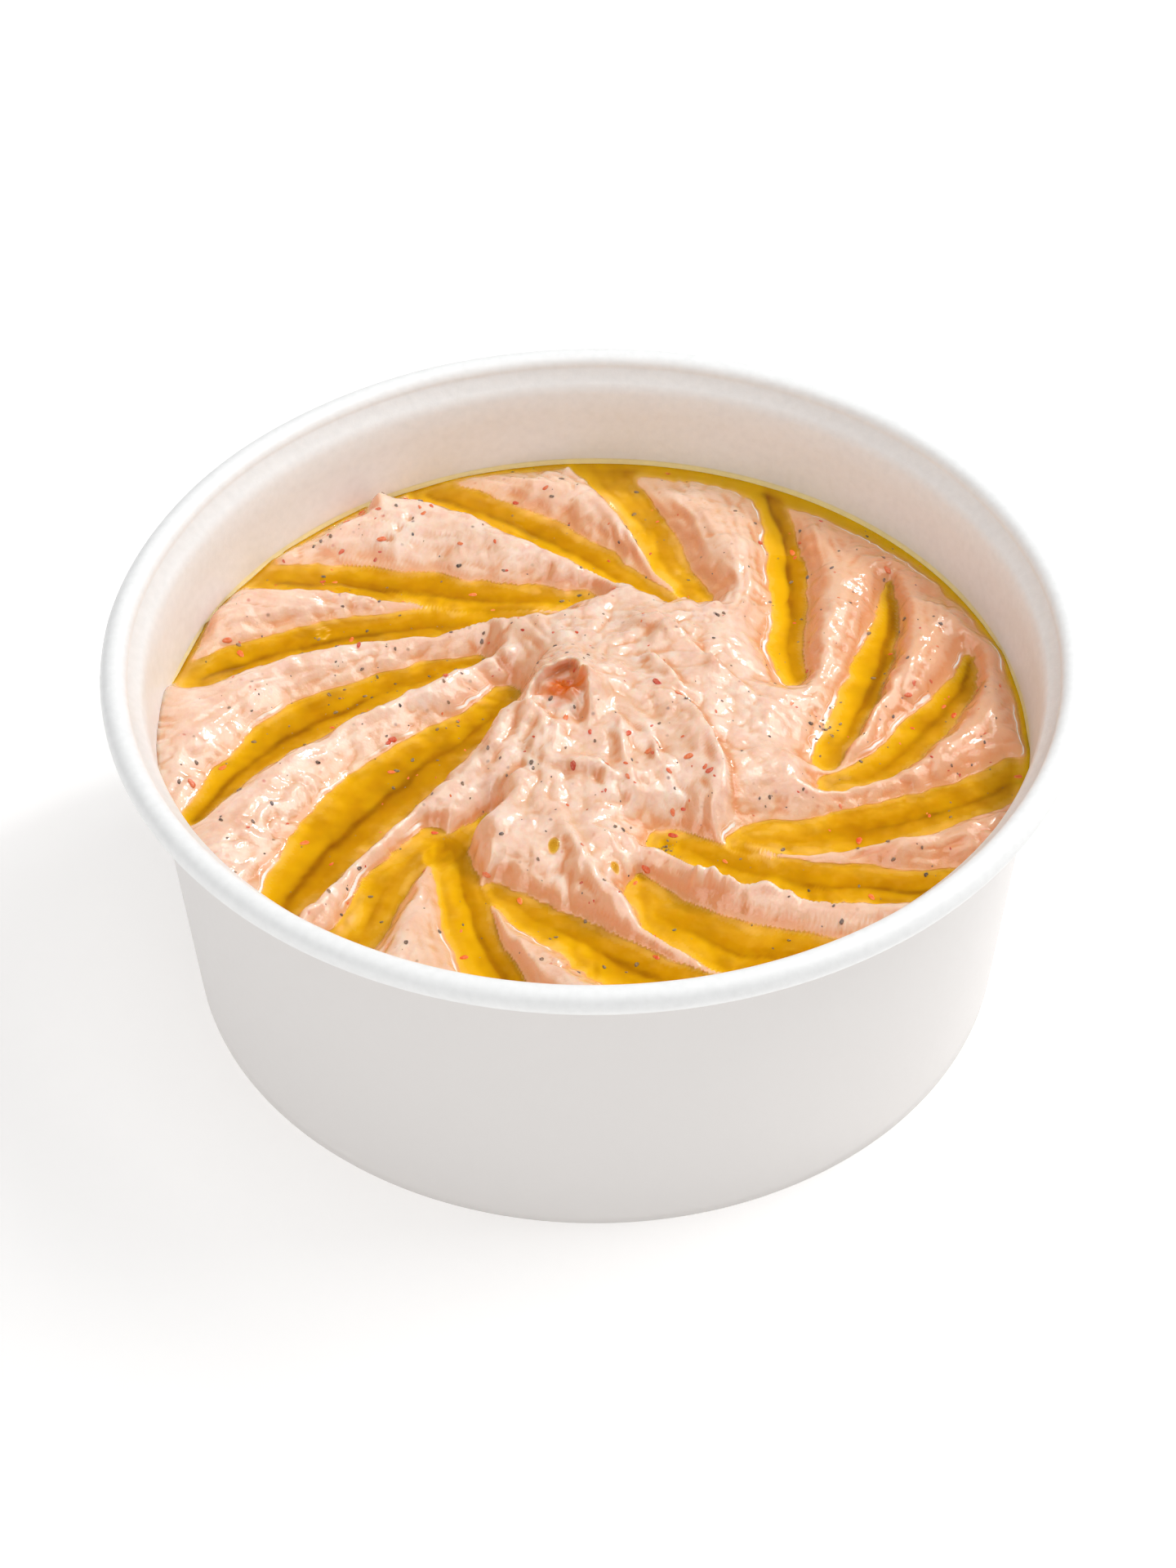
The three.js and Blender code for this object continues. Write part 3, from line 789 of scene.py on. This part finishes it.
def labnehMaterial(name, gloss):
    mat, tree, shader = newMaterial(name)
    links = tree.links
    depth = attribute(tree, "oilDepth")
    bare = greyRamp(tree, depth, [(0.02, 1.0), (0.5, 0.0)])
    bumpShare = greyRamp(tree, bare, [(0.0, 0.25), (1.0, 1.0)])
    place, shade = addGrain(tree, shader, 460.0, 0.1, 0.3, bumpShare)
    clouds = addNode(tree, "ShaderNodeTexNoise", Scale=150.0, Detail=4.0, Roughness=0.6)
    links.new(place, clouds.inputs["Vector"])
    cloud = clouds.outputs["Fac"]
    uneven = addNode(tree, "ShaderNodeMath", operation="MULTIPLY_ADD")
    uneven.inputs[1].default_value = 1.1
    uneven.inputs[2].default_value = 0.45
    links.new(shade, uneven.inputs[0])
    thickness = times(tree, times(tree, depth, 0.25), uneven.outputs[0])
    amount = greyRamp(tree, thickness, [(0.0, 0.05), (0.05, 0.38), (0.12, 0.72), (0.23, 0.94), (0.36, 1.0)])
    cream = creamColour(tree, place, shade, cloud)
    colour = mixColour(tree, amount, cream, goldColour(tree, thickness, cloud))
    # painted shade along the deepest line of each groove
    dark = times(tree, attribute(tree, "crease"), greyRamp(tree, cloud, [(0.36, 0.1), (0.6, 0.6)]))
    colour = mixColour(tree, dark, colour, (120, 68, 0))
    # a line of light along the lit edge of the oil, and a thinner one above it
    shoreLine = greyRamp(tree, attribute(tree, "shore"), [
        (0.5, 0.0), (0.58, 1.0), (0.74, 1.0), (0.8, 0.0), (0.92, 0.0), (0.96, 0.6), (1.0, 0.0),
    ])
    shine = times(tree, shoreLine, attribute(tree, "shoreShine"))
    links.new(mixColour(tree, shine, colour, (255, 252, 246)), shader.inputs["Base Color"])
    rough = greyRamp(tree, shade, [(0.3, 0.09), (0.7, 0.18)])
    rough = mixColour(tree, attribute(tree, "soaked"), rough, (48, 48, 48))
    links.new(mixColour(tree, bare, (250, 250, 250), rough), shader.inputs["Roughness"])
    shader.inputs["Specular IOR Level"].default_value = 0.55 * gloss
    links.new(greyRamp(tree, bare, [(0.0, 0.0), (1.0, 0.5 * gloss)]), shader.inputs["Coat Weight"])
    shader.inputs["Coat Roughness"].default_value = 0.05
    shader.inputs["Subsurface Weight"].default_value = 0.5
    shader.inputs["Subsurface Radius"].default_value = (1.0, 0.45, 0.25)
    shader.inputs["Subsurface Scale"].default_value = 0.002
    return mat


# each drop has its place and its radius
oil = {"meniscus": 0.16, "wallClimb": 0.4, "wallWidth": 0.6, "sunk": 0.25, "clear": (1.0, 0.96, 0.66, 1),
       "drops": [((-43, 24), 1.0), (seenAt(678, 1036, 46), 0.9), (seenAt(753, 1052, 46), 0.7)]}
hood = {"at": (-4, 7), "spread": 6.0, "from": 7.6, "lean": 0.8}  # the top of the mound leans forward


def oilMaterial():
    mat, tree, shader = newMaterial("oliveOil")
    shader.inputs["Base Color"].default_value = oil["clear"]
    shader.inputs["Roughness"].default_value = 0.0
    shader.inputs["IOR"].default_value = 1.33
    shader.inputs["Specular Tint"].default_value = (1.0, 0.85, 0.12, 1)
    shader.inputs["Transmission Weight"].default_value = 1.0
    clear = addNode(tree, "ShaderNodeBsdfTransparent")
    clear.inputs["Color"].default_value = oil["clear"]
    path = addNode(tree, "ShaderNodeLightPath")
    mix = addNode(tree, "ShaderNodeMixShader")
    tree.links.new(path.outputs["Is Shadow Ray"], mix.inputs["Fac"])
    tree.links.new(shader.outputs["BSDF"], mix.inputs[1])
    tree.links.new(clear.outputs["BSDF"], mix.inputs[2])
    tree.links.new(mix.outputs["Shader"], tree.nodes["Material Output"].inputs["Surface"])
    return mat


def oilSurface(height, radius):
    # it climbs a little where it meets the labneh and the paper
    top = oil["meniscus"] * smoothStep(height, -0.4, 0.15)
    climb = oil["wallClimb"] * (1 - smoothStep(height, 0, 0.5))
    return top + climb * np.exp(-(wallRadius(swirl["oil"]) - radius) / oil["wallWidth"])


def loneDrops(x, y):
    # above 0 inside a drop, longer from back to front than across
    drops = np.full(x.shape, -1.0)
    for (dx, dy), size in oil["drops"]:
        drops = np.maximum(drops, 1 - ((x - dx) ** 2 + ((y - dy) / 1.5) ** 2) / size ** 2)
    return drops


def oilCover(oilTop, height, radius, drops):
    # depth of oil that colours the labneh
    inside = smoothStep(wallRadius(swirl["oil"]) - radius, 0.8, 2.6)
    cover = (oilTop - height) / (0.55 * (1 - inside) + inside * swirl["bed"])
    return np.maximum(np.where(drops > 0, 0, cover), 1.6 * drops)


def giveFinishes(labneh, height):
    # the second finish lies under the oil, so it has no shine of its own
    labneh.data.materials.append(labnehMaterial("labneh", 1.0))
    labneh.data.materials.append(labnehMaterial("labnehUnderOil", 0.0))
    under = height < -0.03
    sunk = under[:-1, :-1] & under[1:, :-1] & under[:-1, 1:] & under[1:, 1:]
    finish = np.zeros(len(labneh.data.polygons), int)
    finish[:sunk.size] = sunk.ravel()
    labneh.data.polygons.foreach_set("material_index", finish)


def markShadeAndSoaking(labneh, x, y, height):
    # painted shade on the labneh: darker and warmer in hollows, at the right where the wall shades it and on
    # slopes away from the light, and a little warmer low down; a painted orange glow under the mound's top;
    # darker where oil soaks it; and painted light and shade on the bed under the oil
    low = 1 - smoothStep(height, 0.4, 3.6)
    paintedShade = np.clip((blurred(height, 14) - height) * 1.4, 0, 1) + 0.3 * low
    # painted shadow of the right wall
    paintedShade = paintedShade + 0.6 * smoothStep(x + 0.2 * y, 20, 56)
    # painted shade on slopes that lean away from the light
    paintedShade = paintedShade + 0.7 * smoothStep(leanAway(x, y, blurred(height, 2)), 0.12, 0.5)
    paintedShade = paintedShade + np.clip((blurred(height, 5) - height) * 3, 0, 0.25)
    floatAttribute(labneh, "paintedShade", np.clip(paintedShade, 0, 1))
    # painted orange glow in the hollow under the mound's top
    knobbly = 0.6 + 1.2 * np.abs(ripple(x, y, 1.8, 51))
    floatAttribute(labneh, "paintedGlow", hill(x, y, (-4.6, 0.8), 3.2) * knobbly)
    soaked = np.exp(-np.maximum(height - 0.1, 0) / 0.5) + 0.45 * hill(x, y, (-22, -48), 12)
    floatAttribute(labneh, "soaked", np.clip(soaked, 0, 1))
    # painted light and shade on the bed under the oil: lighter where it faces the light, darker where it
    # leans away
    deepBed = blurred(np.minimum(height, 0.3) / swirl["bed"], 3)
    floatAttribute(labneh, "shaded", 0.5 + 0.5 * leanAway(x, y, deepBed))


def markShore(labneh, x, y, height):
    # way up the bank from the edge of the oil, in millimetres, and where a line of light lies there
    calm = blurred(height, 1)
    steep = np.maximum(np.hypot(*slopes(x, y, calm)), 0.2)
    floatAttribute(labneh, "shore", np.clip(calm / steep, -2, 2))
    shine = smoothStep(-leanAway(x, y, blurred(height, 3)), 0.08, 0.25)
    shine = shine * smoothStep(ripple(x, y, 7, 41), -0.1, 0.15)
    floatAttribute(labneh, "shoreShine", shine)


def labnehAndOil():
    x, y = discGrid(swirl["grid"], wallRadius(swirl["oil"]) + swirl["intoPaper"])
    radius = np.hypot(x, y)
    height, crease, streak = swirlHeight(x, y)
    print("swirl shaped, from", round(height.min(), 1), "to", round(height.max(), 1))
    lean = hood["lean"] * np.maximum(height - hood["from"], 0) * hill(x, y, hood["at"], hood["spread"])
    base = bowl["footHeight"] + bowl["paper"] + 0.1
    rings = [(wallRadius(36), 36), (wallRadius(base), base)]
    labneh = filledBody("labneh_swirl", x, y - lean, height + swirl["oil"], rings)
    giveFinishes(labneh, height)
    drops = loneDrops(x, y)
    oilTop = np.maximum(oilSurface(height, radius), height + 0.35 * np.maximum(drops, -0.3))
    floatAttribute(labneh, "crease", crease)
    floatAttribute(labneh, "streak", streak)
    floatAttribute(labneh, "oilDepth", oilCover(oilTop, height, radius, drops))
    markShadeAndSoaking(labneh, x, y, height)
    markShore(labneh, x, y, height)
    markBits(labneh, x, y, height)
    wet = oilTop > height
    wetCells = joinedCells(wet[:-1, :-1] | wet[1:, :-1] | wet[:-1, 1:] | wet[1:, 1:])
    oilBottom = np.minimum(height, oilTop) - oil["sunk"]
    pools = shell("olive_oil_pools", x, y, oilTop + swirl["oil"], oilBottom + swirl["oil"], wetCells)
    pools.data.materials.append(oilMaterial())
    return labneh, pools


# Small bits on the swirl: "number" on a square centimetre, "size" in millimetres. "patches" are
# (place, spread, how many times more), and none lies deeper than "lowest" under the oil.
bits = {
    "chili_flakes": {
        "share": "chiliShare", "number": 1.3, "size": (0.25, 1.1), "long": 1.6, "flat": 0.35, "seed": 4,
        "lowest": -1.2, "patches": [((-30, 46), 8, 5), ((52, 8), 14, 2), ((8, -20), 12, 2)],
        "tones": [(190, 40, 14), (224, 78, 30), (234, 120, 60), (212, 64, 52)],
    },
    "pepper_grains": {
        "share": "pepperShare", "number": 2.8, "size": (0.15, 0.7), "long": 1.4, "flat": 0.6, "seed": 11,
        "patches": [((11.0, -25.8), 1.1, 160), (seenAt(1010, 890, 42), 2.2, 35), ((-34, 12), 16, 2)],
        "lowest": -9,
        "tones": [(46, 38, 34), (96, 78, 68), (126, 98, 78), (92, 88, 92), (150, 116, 88)],
    },
}


def markBits(labneh, x, y, height):
    inside = np.hypot(x, y) < wallRadius(swirl["oil"]) - 1.2  # no bits in the paper
    for kind in bits.values():
        share = 1
        for place, spread, more in kind["patches"]:
            share = share + more * hill(x, y, place, spread)
        floatAttribute(labneh, kind["share"], share * inside * (height > kind["lowest"]))


def bitMaterial(name):
    mat, tree, shader = newMaterial(name)
    shade = addGrain(tree, shader, 2600.0, 0.4, 0.05)[1]
    tones = bits[name]["tones"]
    stops = [(i / (len(tones) - 1), colour) for i, colour in enumerate(tones)]
    skin = colourRamp(tree, attribute(tree, "tone"), stops)
    skin = tinted(tree, skin, shade, [(0.4, 0.0), (0.75, 0.35)], (236, 190, 150))
    tree.links.new(skin, shader.inputs["Base Color"])
    shader.inputs["Roughness"].default_value = 0.3
    return mat


def knobblyBit(tree):
    bit = addNode(tree, "GeometryNodeMeshIcoSphere", Subdivisions=2)
    knob = addNode(tree, "ShaderNodeTexNoise", Scale=1.1, Detail=1.0)
    middle = addNode(tree, "ShaderNodeVectorMath", operation="SUBTRACT")
    middle.inputs[1].default_value = (0.5, 0.5, 0.5)
    tree.links.new(knob.outputs["Color"], middle.inputs[0])
    knobbly = addNode(tree, "GeometryNodeSetPosition")
    tree.links.new(bit.outputs["Mesh"], knobbly.inputs["Geometry"])
    tree.links.new(middle.outputs[0], knobbly.inputs["Offset"])
    return knobbly.outputs["Geometry"]


def bitScale(tree, start):
    # most bits are small and a few are large
    chance = addNode(tree, "FunctionNodeRandomValue", data_type="FLOAT")
    tree.links.new(start["Seed"], chance.inputs["Seed"])
    mostlySmall = addNode(tree, "ShaderNodeMath", operation="POWER")
    mostlySmall.inputs[1].default_value = 2.2
    tree.links.new(chance.outputs[1], mostlySmall.inputs[0])
    size = addNode(tree, "ShaderNodeMapRange")
    tree.links.new(mostlySmall.outputs[0], size.inputs["Value"])
    tree.links.new(start["Smallest"], size.inputs["To Min"])
    tree.links.new(start["Largest"], size.inputs["To Max"])
    scale = addNode(tree, "ShaderNodeCombineXYZ")
    for axis, name in (("X", "Long"), ("Z", "Flat")):
        tree.links.new(times(tree, size.outputs["Result"], start[name]), scale.inputs[axis])
    tree.links.new(size.outputs["Result"], scale.inputs["Y"])
    return scale.outputs[0]


def bitTurn(tree, facing):
    # each bit lies on the surface, turned any way round
    angle = addNode(tree, "FunctionNodeRandomValue", data_type="FLOAT")
    angle.inputs[3].default_value = 2 * math.pi
    about = addNode(tree, "FunctionNodeAxisAngleToRotation")
    tree.links.new(angle.outputs[1], about.inputs["Angle"])
    turn = addNode(tree, "FunctionNodeRotateRotation", rotation_space="LOCAL")
    tree.links.new(facing, turn.inputs["Rotation"])
    tree.links.new(about.outputs[0], turn.inputs["Rotate By"])
    return turn.outputs[0]


def bitsTree():
    tree = bpy.data.node_groups.new("scatteredBits", "GeometryNodeTree")
    sockets = {
        "Surface": "Geometry", "Share": "String", "Number": "Float", "Smallest": "Float",
        "Largest": "Float", "Long": "Float", "Flat": "Float", "Seed": "Int", "Finish": "Material",
    }
    for name, kind in sockets.items():
        tree.interface.new_socket(name, in_out="INPUT", socket_type="NodeSocket" + kind)
    tree.interface.new_socket("Bits", in_out="OUTPUT", socket_type="NodeSocketGeometry")
    start = addNode(tree, "NodeGroupInput").outputs
    end = addNode(tree, "NodeGroupOutput")
    wire = tree.links.new
    share = addNode(tree, "GeometryNodeInputNamedAttribute", data_type="FLOAT")
    wire(start["Share"], share.inputs["Name"])
    spread = addNode(tree, "GeometryNodeDistributePointsOnFaces")
    wire(start["Surface"], spread.inputs["Mesh"])
    wire(times(tree, start["Number"], share.outputs["Attribute"]), spread.inputs["Density"])
    wire(start["Seed"], spread.inputs["Seed"])
    placed = addNode(tree, "GeometryNodeInstanceOnPoints")
    wire(spread.outputs["Points"], placed.inputs["Points"])
    wire(knobblyBit(tree), placed.inputs["Instance"])
    wire(bitTurn(tree, spread.outputs["Rotation"]), placed.inputs["Rotation"])
    wire(bitScale(tree, start), placed.inputs["Scale"])
    tone = addNode(tree, "FunctionNodeRandomValue", data_type="FLOAT")
    tone.inputs["Seed"].default_value = 5
    toned = addNode(tree, "GeometryNodeStoreNamedAttribute", data_type="FLOAT", domain="INSTANCE")
    toned.inputs["Name"].default_value = "tone"
    wire(placed.outputs["Instances"], toned.inputs["Geometry"])
    wire(tone.outputs[1], toned.inputs["Value"])
    whole = addNode(tree, "GeometryNodeRealizeInstances")
    wire(toned.outputs["Geometry"], whole.inputs["Geometry"])
    finished = addNode(tree, "GeometryNodeSetMaterial")
    wire(whole.outputs["Geometry"], finished.inputs["Geometry"])
    wire(start["Finish"], finished.inputs["Material"])
    wire(finished.outputs["Geometry"], end.inputs["Bits"])
    return tree


def scatteredBits(name, surface, tree):
    kind = bits[name]
    holder = link(name + "_holder", surface.data)
    modifier = holder.modifiers.new("bits", "NODES")
    modifier.node_group = tree
    values = {
        "Share": kind["share"], "Number": kind["number"] * 10000, "Smallest": kind["size"][0] / 2 * mm,
        "Largest": kind["size"][1] / 2 * mm, "Long": kind["long"], "Flat": kind["flat"],
        "Seed": kind["seed"], "Finish": bitMaterial(name),
    }
    for item in tree.interface.items_tree:
        if item.name in values:
            modifier[item.identifier] = values[item.name]
    graph = bpy.context.evaluated_depsgraph_get()
    shaped = holder.evaluated_get(graph)
    mesh = bpy.data.meshes.new_from_object(shaped, preserve_all_data_layers=True, depsgraph=graph)
    mesh.name = name
    bpy.data.objects.remove(holder)
    return link(name, mesh)


fineGrain = fineGrainGroup()
addCamera()
addLights()
addFloor()
bowlPiece = paperBowl()
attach(bowlPiece, "root")
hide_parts("bowl")
print("bowl made")
labnehPiece, oilPiece = labnehAndOil()
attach(labnehPiece, "root")
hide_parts("labneh")
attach(oilPiece, "root")
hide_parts("olive_oil")
print("swirl and oil made")
scatterTree = bitsTree()
for bitName in bits:
    bitPiece = scatteredBits(bitName, labnehPiece, scatterTree)
    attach(bitPiece, "root")
    print(bitName, "made,", len(bitPiece.data.polygons), "faces")
